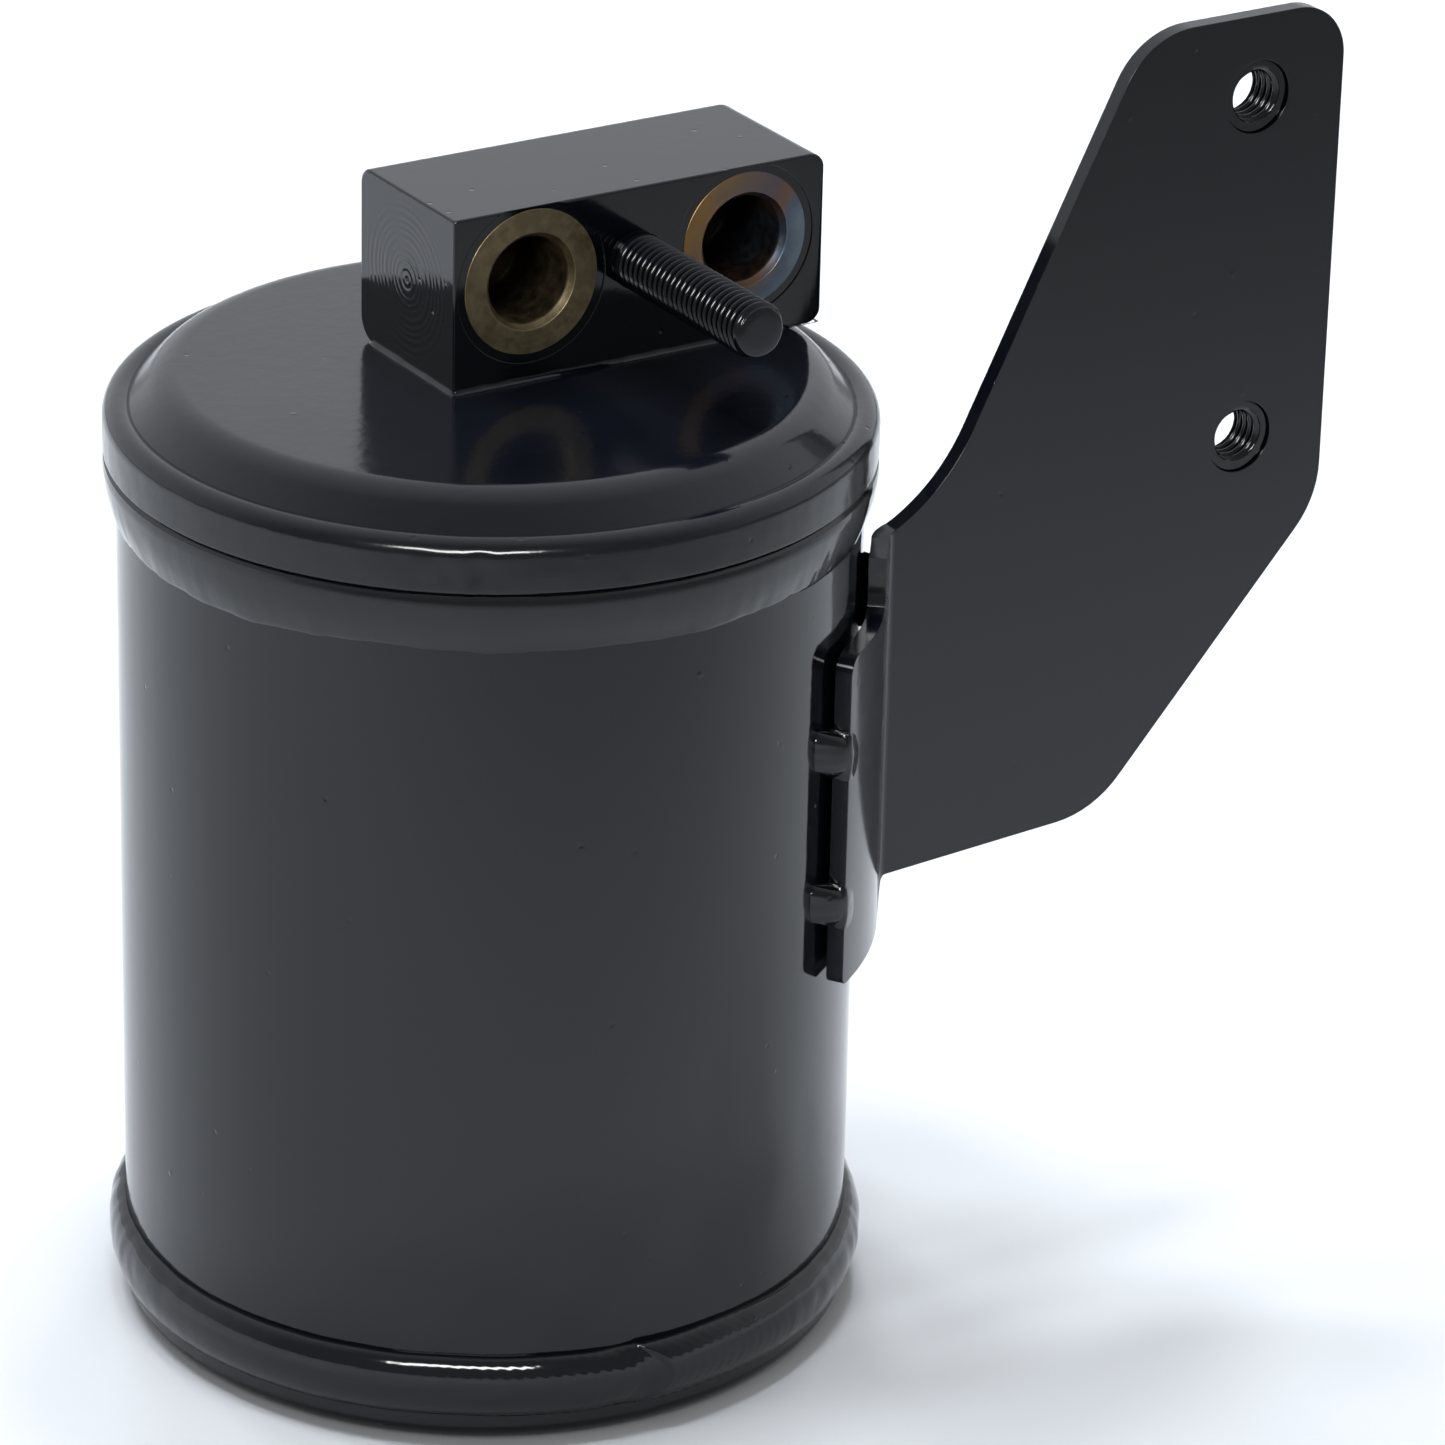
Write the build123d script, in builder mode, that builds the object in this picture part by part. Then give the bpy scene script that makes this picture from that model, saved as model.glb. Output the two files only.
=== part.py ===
"""Receiver-drier for a refrigerant circuit: a welded steel can with a manifold block on top,
a bent mounting bracket on its side, and the drying and filtering parts sealed inside.

Millimetres, +Z up. The origin is the centre of the can's flat bottom. The two ports and the
stud point along -Y, and the bracket's flange reaches out along +X with its mounting face to -Y.
"""

from build123d import *
import math
import os

# ---------------------------------------------------------------- can
can_radius = 50.8
can_wall = 2.0
bottom_seam_z = 8.6
shell_top = 129.6

# bottom cap: a drawn dish whose stepped-in spigot locates the shell
bottom_cap_radius = 51.2
bottom_cap_wall = 2.4
bottom_corner_radius = 3.0
spigot_top = 16.0
spigot_clearance = 0.05

# top cap: a skirt over the shell, a round rim, and a slope up to the plateau that carries the block
skirt_radius = 52.5
skirt_bottom = 125.4
rim_top = 133.0
rim_radius = 2.3
slope_foot_radius = 49.0
plateau_top = 137.2
plateau_radius = 44.6
plateau_corner_radius = 5.6
plateau_thickness = 2.2
cap_wall = 2.0

# girth welds
top_weld_bottom = 117.0
top_weld_bulge = 0.35
bottom_weld_low = 4.1
bottom_weld_high = 13.3
bottom_weld_radius = 53.35

# ---------------------------------------------------------------- manifold block
block_left = -10.3
block_right = 47.6
block_front = -7.5
block_depth = 25.4
block_height = 24.6
block_back_fillet = 2.8
block_end_fillet = 1.6
port_axis_height = 14.0
outlet_x = 1.6
port_spacing = 33.5
port_bore_radius = 6.1
port_bore_depth = 14.0
port_chamfer = 0.7
passage_radius = 3.0
block_braze_leg = 0.9
block_braze_reach = 42.2

# stud between the ports, M8, and the minor radius that its tapped hole and the weld nuts are drawn at
stud_radius = 4.0
thread_minor_radius = 3.4
stud_length = 30.5
stud_buried = 12.0
stud_chamfer = 0.9

# ---------------------------------------------------------------- parts inside the can
tube_radius = 4.0
tube_bore_radius = 3.0
tube_in_block = 4.0
tube_foot = 9.0
tube_clearance = 0.2
inlet_passage_x = 34.8
braze_ring_leg = 1.8

lower_plate_bottom = spigot_top
plate_thickness = 1.2
plate_rim_height = 5.0
pad_thickness = 6.0
bed_height = 69.0
inner_gap = 0.3
perforation_radius = 1.8
perforation_rings = [(12.0, 8), (20.0, 14), (28.0, 20), (36.0, 26), (42.5, 30)]

spring_wire_radius = 1.2
spring_mean_radius = 22.0
spring_turns = 4.0
spring_end_gap = 0.1

strainer_radius = 8.0
strainer_wall = 0.6
strainer_bottom = 4.6
strainer_top = 14.0

deflector_radius = 7.0
deflector_wall = 1.0
deflector_height = 8.0
deflector_window_width = 5.0
deflector_window_height = 4.0

# ---------------------------------------------------------------- bracket
plate = 2.5
saddle_gap = 0.95
saddle_start_angle = -57.1
saddle_bottom = 56.3
saddle_top = 104.9
saddle_corner_low = 1.2
saddle_corner_high = 2.6
bend_inner_radius = 2.0
flange_face_y = -30.0
flange_left = 41.8
flange_foot_left = 45.2
flange_right = 117.8
flange_bottom_left = 62.8
flange_bottom_right = 64.6
flange_foot_x = 81.3
flange_lower_right_z = 105.3
flange_top = 179.1
flange_top_left_x = 84.7
flange_neck_x = 58.2
flange_neck_z = 126.7
flange_tip_z = 113.0
foot_radius = 15.0
side_radius = 14.0
top_right_radius = 8.0
top_left_radius = 12.0
relief_radius = 2.5

# weld nuts behind the flange, M8
bolt_x = 103.4
bolt_low_z = 117.3
bolt_spacing = 50.0
bolt_hole_radius = 5.25
nut_pilot_radius = 5.2
nut_pilot_length = 2.0
nut_across_flats = 14.0
nut_height = 4.0

# stitch welds that hold the saddle to the can: bottom and top of each stitch
edge_stitches = [(64.8, 71.8), (87.0, 94.8)]
rear_stitches = [(66.0, 76.0), (99.0, 110.0)]
stitch_toe_angle = -61.0
stitch_lap_angle = -53.9
stitch_crown_radius = 55.0
stitch_crown_angle = -57.0
rear_toe_angle = -27.0
rear_reach = 4.0

# ---------------------------------------------------------------- worked-out places
shell_inner = can_radius - can_wall
inner_fit_radius = shell_inner - inner_gap
tube_hole_radius = tube_radius + tube_clearance
plateau_underside = plateau_top - plateau_thickness
rim_center_radius = skirt_radius - rim_radius
rim_center_z = rim_top - rim_radius
rim_underside = rim_center_z
slope_foot_z = rim_center_z + math.sqrt(rim_radius**2 - (rim_center_radius - slope_foot_radius) ** 2)
slope_lean = (plateau_radius - slope_foot_radius) / (plateau_top - slope_foot_z)
slope_wall = cap_wall * math.hypot(1, slope_lean)

block_length = block_right - block_left
block_center_x = (block_left + block_right) / 2
block_center_y = block_front + block_depth / 2
block_center_z = plateau_top + block_height / 2
port_z = plateau_top + port_axis_height
port_xs = [outlet_x, outlet_x + port_spacing]
stud_x = outlet_x + port_spacing / 2
passage_xs = [0.0, inlet_passage_x]

lower_pad_bottom = lower_plate_bottom + plate_thickness
bed_bottom = lower_pad_bottom + pad_thickness
upper_pad_bottom = bed_bottom + bed_height
upper_plate_bottom = upper_pad_bottom + pad_thickness
spring_bottom = upper_plate_bottom + plate_thickness
spring_height = plateau_underside - spring_bottom

saddle_inner = can_radius + saddle_gap
saddle_outer = saddle_inner + plate
bend_center_y = flange_face_y - bend_inner_radius
bend_center_x = math.sqrt((saddle_outer + bend_inner_radius) ** 2 - bend_center_y**2)
bend_angle = math.degrees(math.atan2(bend_center_y, bend_center_x))
bend_turn = bend_angle + 180 - 90
flange_back_y = flange_face_y + plate
bolt_zs = [bolt_low_z, bolt_low_z + bolt_spacing]


def on_circle(radius, angle):
    """Point of the plan view at this radius from the can's axis."""
    return (radius * math.cos(math.radians(angle)), radius * math.sin(math.radians(angle)))


def finish(builder, name):
    """Label a finished piece and write its STEP file."""
    builder.part.label = name
    export_step(builder.part, f"parts/{name}.step")


os.makedirs("parts", exist_ok=True)

# ---------------------------------------------------------------- can: shell and caps
with BuildPart() as shell:
    with BuildSketch(Plane.XY.offset(bottom_seam_z)):
        Circle(can_radius)
        Circle(shell_inner, mode=Mode.SUBTRACT)
    extrude(amount=shell_top - bottom_seam_z)
finish(shell, "shell")

with BuildPart() as bottom_cap:
    spigot_radius = shell_inner - spigot_clearance
    dish_inner = spigot_radius - bottom_cap_wall
    with BuildSketch(Plane.XZ):
        with BuildLine():
            Polyline(
                (0, 0),
                (bottom_cap_radius, 0),
                (bottom_cap_radius, bottom_seam_z),
                (spigot_radius, bottom_seam_z),
                (spigot_radius, spigot_top),
                (dish_inner, spigot_top),
                (dish_inner, bottom_cap_wall),
                (0, bottom_cap_wall),
                close=True,
            )
        make_face()
    revolve(axis=Axis.Z)
    outer_rim = bottom_cap.edges().filter_by(GeomType.CIRCLE).group_by(Axis.Z)[0]
    fillet(outer_rim, bottom_corner_radius)
    floor_rim = bottom_cap.edges().filter_by(GeomType.CIRCLE).filter_by(
        lambda edge: abs(edge.center().Z - bottom_cap_wall) < 0.01 and edge.radius > 10
    )
    fillet(floor_rim, bottom_cap_wall)
finish(bottom_cap, "bottom_cap")

with BuildPart() as top_cap:
    inner_top_radius = plateau_radius - slope_wall + slope_lean * (plateau_underside - plateau_top)
    inner_foot_radius = plateau_radius - slope_wall + slope_lean * (rim_underside - plateau_top)
    with BuildSketch(Plane.XZ):
        with BuildLine():
            Polyline(
                (0, plateau_underside),
                (0, plateau_top),
                (plateau_radius, plateau_top),
                (slope_foot_radius, slope_foot_z),
            )
            ThreePointArc(
                (slope_foot_radius, slope_foot_z), (rim_center_radius, rim_top), (skirt_radius, rim_center_z)
            )
            Polyline(
                (skirt_radius, rim_center_z),
                (skirt_radius, skirt_bottom),
                (can_radius + spigot_clearance, skirt_bottom),
                (can_radius + spigot_clearance, rim_underside),
                (inner_foot_radius, rim_underside),
                (inner_top_radius, plateau_underside),
                (0, plateau_underside),
            )
        make_face()
    revolve(axis=Axis.Z)
    cap_circles = top_cap.edges().filter_by(GeomType.CIRCLE)
    outer_edge = cap_circles.sort_by_distance((plateau_radius, 0, plateau_top))[0]
    inner_edge = cap_circles.sort_by_distance((inner_top_radius, 0, plateau_underside))[0]
    fillet(outer_edge, plateau_corner_radius)
    fillet(inner_edge, plateau_corner_radius - cap_wall)
    with BuildSketch(Plane.XY.offset(plateau_top)):
        with Locations((passage_xs[0], 0)):
            Circle(tube_radius)
        with Locations((passage_xs[1], 0)):
            Circle(passage_radius)
    extrude(amount=-plateau_thickness, mode=Mode.SUBTRACT)
finish(top_cap, "top_cap")

# ---------------------------------------------------------------- girth welds
with BuildPart() as top_girth_weld:
    middle_z = (top_weld_bottom + skirt_bottom) / 2
    middle_radius = (can_radius + skirt_radius) / 2 + top_weld_bulge
    with BuildSketch(Plane.XZ):
        with BuildLine():
            Line((can_radius, top_weld_bottom), (can_radius, skirt_bottom))
            Line((can_radius, skirt_bottom), (skirt_radius, skirt_bottom))
            ThreePointArc(
                (skirt_radius, skirt_bottom), (middle_radius, middle_z), (can_radius, top_weld_bottom)
            )
        make_face()
    revolve(axis=Axis.Z)
finish(top_girth_weld, "top_girth_weld")

with BuildPart() as bottom_girth_weld:
    with BuildSketch(Plane.XZ):
        with BuildLine():
            Polyline(
                (bottom_cap_radius, bottom_weld_low),
                (bottom_cap_radius, bottom_seam_z),
                (can_radius, bottom_seam_z),
                (can_radius, bottom_weld_high),
            )
            ThreePointArc(
                (can_radius, bottom_weld_high),
                (bottom_weld_radius, bottom_seam_z),
                (bottom_cap_radius, bottom_weld_low),
            )
        make_face()
    revolve(axis=Axis.Z)
finish(bottom_girth_weld, "bottom_girth_weld")

# ---------------------------------------------------------------- manifold block
block_face = Plane(origin=(0, block_front, port_z), x_dir=(1, 0, 0), z_dir=(0, -1, 0))

with BuildPart() as manifold_block:
    with Locations((block_center_x, block_center_y, block_center_z)):
        Box(block_length, block_depth, block_height)
    back_edges = manifold_block.faces().sort_by(Axis.Y)[-1].edges().filter_by(Axis.X)
    fillet(back_edges, block_back_fillet)
    end_edges = manifold_block.faces().sort_by(Axis.X)[-1].edges()
    fillet(end_edges, block_end_fillet)
    with BuildSketch(block_face):
        with Locations(*[(x, 0) for x in port_xs]):
            Circle(port_bore_radius)
    extrude(amount=-port_bore_depth, mode=Mode.SUBTRACT)
    mouths = manifold_block.faces().sort_by(Axis.Y)[0].edges().filter_by(GeomType.CIRCLE)
    chamfer(mouths, port_chamfer)
    with BuildSketch(block_face):
        with Locations((stud_x, 0)):
            Circle(thread_minor_radius)
    extrude(amount=-stud_buried, mode=Mode.SUBTRACT)
    with BuildSketch(Plane.XY.offset(plateau_top)):
        with Locations(*[(x, 0) for x in passage_xs]):
            Circle(passage_radius)
    extrude(amount=port_axis_height, mode=Mode.SUBTRACT)
    with BuildSketch(Plane.XY.offset(plateau_top)):
        Circle(tube_radius)
    extrude(amount=tube_in_block, mode=Mode.SUBTRACT)
finish(manifold_block, "manifold_block")

with BuildPart() as block_braze:
    footprint_y = block_depth - block_back_fillet
    with BuildSketch(Plane.XY.offset(plateau_top)):
        with Locations((block_center_x, block_front + footprint_y / 2)):
            Rectangle(block_length + 2 * block_braze_leg, footprint_y + 2 * block_braze_leg)
    extrude(amount=block_braze_leg, taper=45)
    with BuildSketch(Plane.XY.offset(plateau_top)):
        with Locations((block_center_x, block_front + footprint_y / 2)):
            Rectangle(block_length, footprint_y)
    extrude(amount=block_braze_leg, mode=Mode.SUBTRACT)
    with BuildSketch(Plane.XY.offset(plateau_top)):
        Circle(block_braze_reach)
    extrude(amount=block_braze_leg, mode=Mode.INTERSECT)
    add(manifold_block.part, mode=Mode.SUBTRACT)
finish(block_braze, "block_braze")

with BuildPart() as mounting_stud:
    with BuildSketch(block_face.offset(-stud_buried)):
        with Locations((stud_x, 0)):
            Circle(thread_minor_radius)
    extrude(amount=stud_buried)
    with BuildSketch(block_face):
        with Locations((stud_x, 0)):
            Circle(stud_radius)
    extrude(amount=stud_length)
    stud_tip = mounting_stud.edges().group_by(Axis.Y)[0]
    chamfer(stud_tip, stud_chamfer)
finish(mounting_stud, "mounting_stud")

# ---------------------------------------------------------------- pickup tube and its fittings
with BuildPart() as pickup_tube:
    with BuildSketch(Plane.XY.offset(tube_foot)):
        Circle(tube_radius)
        Circle(tube_bore_radius, mode=Mode.SUBTRACT)
    extrude(amount=plateau_top + tube_in_block - tube_foot)
finish(pickup_tube, "pickup_tube")

with BuildPart() as tube_braze_ring:
    with BuildSketch(Plane.XZ):
        with BuildLine():
            Polyline(
                (tube_radius, plateau_underside),
                (tube_radius + braze_ring_leg, plateau_underside),
                (tube_radius, plateau_underside - braze_ring_leg),
                close=True,
            )
        make_face()
    revolve(axis=Axis.Z)
finish(tube_braze_ring, "tube_braze_ring")

with BuildPart() as strainer_screen:
    with BuildSketch(Plane.XY.offset(strainer_bottom)):
        Circle(strainer_radius)
    extrude(amount=strainer_top - strainer_bottom)
    with BuildSketch(Plane.XY.offset(strainer_bottom + strainer_wall)):
        Circle(strainer_radius - strainer_wall)
    extrude(amount=strainer_top - strainer_bottom - 2 * strainer_wall, mode=Mode.SUBTRACT)
    with BuildSketch(Plane.XY.offset(strainer_top)):
        Circle(tube_radius)
    extrude(amount=-strainer_wall, mode=Mode.SUBTRACT)
finish(strainer_screen, "strainer_screen")

with BuildPart() as inlet_deflector:
    with BuildSketch(Plane.XY.offset(plateau_underside)):
        with Locations((inlet_passage_x, 0)):
            Circle(deflector_radius)
    extrude(amount=-deflector_height)
    with BuildSketch(Plane.XY.offset(plateau_underside)):
        with Locations((inlet_passage_x, 0)):
            Circle(deflector_radius - deflector_wall)
    extrude(amount=deflector_wall - deflector_height, mode=Mode.SUBTRACT)
    window_z = plateau_underside - deflector_height / 2
    with Locations((inlet_passage_x, 0, window_z)):
        for turn in (0, 90):
            Box(
                deflector_window_width,
                3 * deflector_radius,
                deflector_window_height,
                rotation=(0, 0, turn),
                mode=Mode.SUBTRACT,
            )
finish(inlet_deflector, "inlet_deflector")

# ---------------------------------------------------------------- filter stack
for name, bottom in (("lower_support_plate", lower_plate_bottom), ("upper_retainer_plate", upper_plate_bottom)):
    with BuildPart() as filter_plate:
        with BuildSketch(Plane.XY.offset(bottom)):
            Circle(inner_fit_radius)
        extrude(amount=plate_thickness + plate_rim_height)
        with BuildSketch(Plane.XY.offset(bottom + plate_thickness)):
            Circle(inner_fit_radius - plate_thickness)
        extrude(amount=plate_rim_height, mode=Mode.SUBTRACT)
        with BuildSketch(Plane.XY.offset(bottom)):
            Circle(tube_hole_radius)
            for ring_radius, hole_count in perforation_rings:
                with PolarLocations(ring_radius, hole_count):
                    Circle(perforation_radius)
        extrude(amount=plate_thickness, mode=Mode.SUBTRACT)
    finish(filter_plate, name)

for name, bottom, height, radius in (
    ("lower_filter_pad", lower_pad_bottom, pad_thickness, inner_fit_radius - plate_thickness - inner_gap),
    ("desiccant_bed", bed_bottom, bed_height, inner_fit_radius),
    ("upper_filter_pad", upper_pad_bottom, pad_thickness, inner_fit_radius),
):
    with BuildPart() as fill:
        with BuildSketch(Plane.XY.offset(bottom)):
            Circle(radius)
            Circle(tube_hole_radius, mode=Mode.SUBTRACT)
        extrude(amount=height)
    finish(fill, name)

with BuildPart() as compression_spring:
    coil_height = spring_height - 2 * (spring_wire_radius + spring_end_gap)
    coil_bottom = spring_bottom + spring_wire_radius + spring_end_gap
    with BuildLine():
        coil = Helix(
            pitch=coil_height / spring_turns,
            height=coil_height,
            radius=spring_mean_radius,
            center=(0, 0, coil_bottom),
        )
    with BuildSketch(Plane(origin=coil @ 0, z_dir=coil % 0)):
        Circle(spring_wire_radius)
    sweep(path=coil, is_frenet=True)
finish(compression_spring, "compression_spring")

# ---------------------------------------------------------------- bracket
outline_corners = [
    ((flange_foot_x, flange_bottom_right), foot_radius),
    ((flange_right, flange_lower_right_z), side_radius),
    ((flange_right, flange_top), top_right_radius),
    ((flange_top_left_x, flange_top), top_left_radius),
]

with BuildPart() as bracket:
    with BuildSketch(Plane.XY.offset(saddle_bottom)):
        with BuildLine():
            CenterArc((0, 0), saddle_outer, saddle_start_angle, bend_angle - saddle_start_angle)
            CenterArc((bend_center_x, bend_center_y), bend_inner_radius, bend_angle + 180, -bend_turn)
            Line((bend_center_x, flange_face_y), (flange_right, flange_face_y))
            Line((flange_right, flange_face_y), (flange_right, flange_back_y))
            Line((flange_right, flange_back_y), (bend_center_x, flange_back_y))
            CenterArc((bend_center_x, bend_center_y), bend_inner_radius + plate, 90, bend_turn)
            CenterArc((0, 0), saddle_inner, bend_angle, saddle_start_angle - bend_angle)
            Line(on_circle(saddle_inner, saddle_start_angle), on_circle(saddle_outer, saddle_start_angle))
        make_face()
    extrude(amount=flange_top - saddle_bottom)
    with BuildSketch(Plane.XZ) as outline:
        with BuildLine():
            saddle_left = 0.0
            upper_arc_start = (flange_neck_x, flange_neck_z)
            Polyline(
                (flange_left, saddle_top + relief_radius),
                (flange_left - relief_radius, saddle_top),
                (saddle_left, saddle_top),
                (saddle_left, saddle_bottom),
                (flange_foot_left - 1, saddle_bottom),
                (flange_foot_left + 1, flange_bottom_left),
                (flange_foot_x, flange_bottom_right),
                (flange_right, flange_lower_right_z),
                (flange_right, flange_top),
                (flange_top_left_x, flange_top),
                upper_arc_start,
            )
            TangentArc(
                upper_arc_start,
                (flange_left, flange_tip_z),
                tangent=(flange_neck_x - flange_top_left_x, flange_neck_z - flange_top),
            )
            Line((flange_left, flange_tip_z), (flange_left, saddle_top + relief_radius))
        make_face()
        for corner, corner_radius in outline_corners:
            fillet(outline.vertices().sort_by_distance((*corner, 0))[0], corner_radius)
        with Locations(*[(bolt_x, z) for z in bolt_zs]):
            Circle(bolt_hole_radius, mode=Mode.SUBTRACT)
    extrude(amount=2 * saddle_outer, both=True, mode=Mode.INTERSECT)
    end_face = bracket.faces().sort_by_distance(
        (*on_circle((saddle_inner + saddle_outer) / 2, saddle_start_angle), (saddle_bottom + saddle_top) / 2)
    )[0]
    end_corners = end_face.edges().sort_by(Axis.Z)
    fillet(end_corners[0], saddle_corner_low)
    fillet(end_corners[-1], saddle_corner_high)
finish(bracket, "bracket")

with BuildPart() as bracket_edge_welds:
    for low, high in edge_stitches:
        with BuildSketch(Plane.XY.offset(low)):
            with BuildLine():
                ThreePointArc(
                    on_circle(can_radius, stitch_toe_angle),
                    on_circle(stitch_crown_radius, stitch_crown_angle),
                    on_circle(saddle_outer, stitch_lap_angle),
                )
                CenterArc((0, 0), saddle_outer, stitch_lap_angle, saddle_start_angle - stitch_lap_angle)
                Line(on_circle(saddle_outer, saddle_start_angle), on_circle(can_radius, saddle_start_angle))
                CenterArc((0, 0), can_radius, saddle_start_angle, stitch_toe_angle - saddle_start_angle)
            make_face()
        extrude(amount=high - low)
finish(bracket_edge_welds, "bracket_edge_welds")

with BuildPart() as bracket_rear_welds:
    for low, high in rear_stitches:
        with BuildSketch(Plane.XY.offset(low)):
            with BuildLine():
                CenterArc((0, 0), can_radius, bend_angle, rear_toe_angle - bend_angle)
                Line(on_circle(can_radius, rear_toe_angle), (bend_center_x + rear_reach, flange_back_y))
                Line((bend_center_x + rear_reach, flange_back_y), (bend_center_x, flange_back_y))
                CenterArc((bend_center_x, bend_center_y), bend_inner_radius + plate, 90, bend_turn)
                Line(on_circle(saddle_inner, bend_angle), on_circle(can_radius, bend_angle))
            make_face()
        extrude(amount=high - low)
finish(bracket_rear_welds, "bracket_rear_welds")

# ---------------------------------------------------------------- weld nuts behind the flange
flange_back = Plane(origin=(0, flange_back_y, 0), x_dir=(1, 0, 0), z_dir=(0, -1, 0))

for name, nut_z in zip(("lower_weld_nut", "upper_weld_nut"), bolt_zs):
    with BuildPart() as weld_nut:
        with BuildSketch(flange_back):
            with Locations((bolt_x, nut_z)):
                RegularPolygon(nut_across_flats / 2, 6, major_radius=False)
        extrude(amount=-nut_height)
        with BuildSketch(flange_back):
            with Locations((bolt_x, nut_z)):
                Circle(nut_pilot_radius)
        extrude(amount=nut_pilot_length)
        with BuildSketch(flange_back.offset(nut_pilot_length)):
            with Locations((bolt_x, nut_z)):
                Circle(thread_minor_radius)
        extrude(amount=-nut_pilot_length - nut_height, mode=Mode.SUBTRACT)
    finish(weld_nut, name)
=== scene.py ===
"""Looks for the receiver-drier: glossy black enamel over welded steel, bare port seats, a threaded stud.

Lengths inside this script are millimetres, and become metres where a mesh is made.
"""

import math

import bmesh
import bpy
import numpy as np
from mathutils import Matrix, Vector, noise
from mathutils.geometry import delaunay_2d_cdt


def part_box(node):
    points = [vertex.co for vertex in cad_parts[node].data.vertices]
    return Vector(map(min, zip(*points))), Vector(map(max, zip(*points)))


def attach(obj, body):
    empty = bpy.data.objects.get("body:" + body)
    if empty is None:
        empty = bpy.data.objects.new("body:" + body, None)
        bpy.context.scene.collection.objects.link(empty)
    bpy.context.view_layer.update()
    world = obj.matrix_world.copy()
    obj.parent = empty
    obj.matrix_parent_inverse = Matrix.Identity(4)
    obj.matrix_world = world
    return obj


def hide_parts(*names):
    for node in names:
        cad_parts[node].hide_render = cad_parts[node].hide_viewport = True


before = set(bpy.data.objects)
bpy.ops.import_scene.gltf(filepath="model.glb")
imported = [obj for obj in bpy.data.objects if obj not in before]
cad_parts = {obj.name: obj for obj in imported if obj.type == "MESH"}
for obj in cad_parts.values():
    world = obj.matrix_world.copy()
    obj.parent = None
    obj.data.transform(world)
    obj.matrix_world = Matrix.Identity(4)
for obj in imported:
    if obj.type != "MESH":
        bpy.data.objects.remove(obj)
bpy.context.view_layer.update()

MM = 0.001
TURN = 2 * math.pi


def corners_of(node):
    """Lowest and highest corner of a CAD node, in millimetres."""
    low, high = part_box(node)
    return low / MM, high / MM


# -------- places, from the frame
shell_low, shell_high = corners_of("shell")
cap_high = corners_of("top_cap")[1]
dish_high = corners_of("bottom_cap")[1]
lower_bead_low, lower_bead_high = corners_of("bottom_girth_weld")
upper_bead_low, upper_bead_high = corners_of("top_girth_weld")
block_low, block_high = corners_of("manifold_block")
stud_low, stud_high = corners_of("mounting_stud")
bracket_low, bracket_high = corners_of("bracket")
nut_boxes = [corners_of("lower_weld_nut"), corners_of("upper_weld_nut")]

can_radius = shell_high.x
can_wall = 2.0
skirt_radius = cap_high.x
plateau_z = cap_high.z
port_z = (stud_low.z + stud_high.z) / 2
stud_x = (stud_low.x + stud_high.x) / 2
stud_radius = (stud_high.x - stud_low.x) / 2
port_spacing = 33.5
port_xs = [stud_x - port_spacing / 2, stud_x + port_spacing / 2]
plate = 2.5
flange_face_y = -30.0
flange_back_y = flange_face_y + plate

# direction from the can's axis to the camera, in degrees round Z
CAMERA_SIDE = -122.5


# -------- shape helpers
def arc_points(center, radius, start, sweep, count):
    """Points of an arc in a plane; angles in degrees."""
    return [
        (
            center[0] + radius * math.cos(math.radians(start + sweep * i / count)),
            center[1] + radius * math.sin(math.radians(start + sweep * i / count)),
        )
        for i in range(count + 1)
    ]


def bearing(vector):
    return math.degrees(math.atan2(vector.y, vector.x))


def rounded(corners, degrees_per_step):
    """Closed outline from (x, y, radius) corners, each corner rounded by a tangent arc."""
    points = []
    for i, (x, y, radius) in enumerate(corners):
        here = Vector((x, y))
        before = Vector(corners[i - 1][:2]) - here
        after = Vector(corners[(i + 1) % len(corners)][:2]) - here
        if radius <= 0:
            points.append((x, y))
            continue
        before.normalize()
        after.normalize()
        half = before.angle(after) / 2
        center = here + (before + after).normalized() * (radius / math.sin(half))
        first = here + before * (radius / math.tan(half)) - center
        last = here + after * (radius / math.tan(half)) - center
        start = bearing(first)
        sweep = (bearing(last) - start + 180) % 360 - 180
        count = max(2, round(abs(sweep) / degrees_per_step))
        points += arc_points(center, radius, start, sweep, count)
    return points


def polar(radius, degrees):
    """Point in plan at this radius from the can's axis."""
    return radius * math.cos(math.radians(degrees)), radius * math.sin(math.radians(degrees))


def turned_from(angle, degrees):
    """How far an angle is from a direction round Z, between minus and plus half a turn."""
    return (angle - math.radians(degrees) + math.pi) % TURN - math.pi


def smoothstep(low, high, x):
    """0 below low, 1 above high and an even S between; low may be the larger of the two."""
    t = min(1.0, max(0.0, (x - low) / (high - low)))
    return t * t * (3 - 2 * t)


def mesh_in_mm(name, verts, faces):
    mesh = bpy.data.meshes.new(name)
    mesh.from_pydata([tuple(c * MM for c in v) for v in verts], [], faces)
    return mesh


def clean(mesh):
    """Joins vertices that coincide, and turns every face outwards."""
    work = bmesh.new()
    work.from_mesh(mesh)
    bmesh.ops.remove_doubles(work, verts=work.verts, dist=1e-7)
    bmesh.ops.recalc_face_normals(work, faces=work.faces)
    work.to_mesh(mesh)
    work.free()


def show(name, data):
    """Puts a mesh, a light or a camera into the scene."""
    made = bpy.data.objects.new(name, data)
    bpy.context.scene.collection.objects.link(made)
    return made


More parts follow.
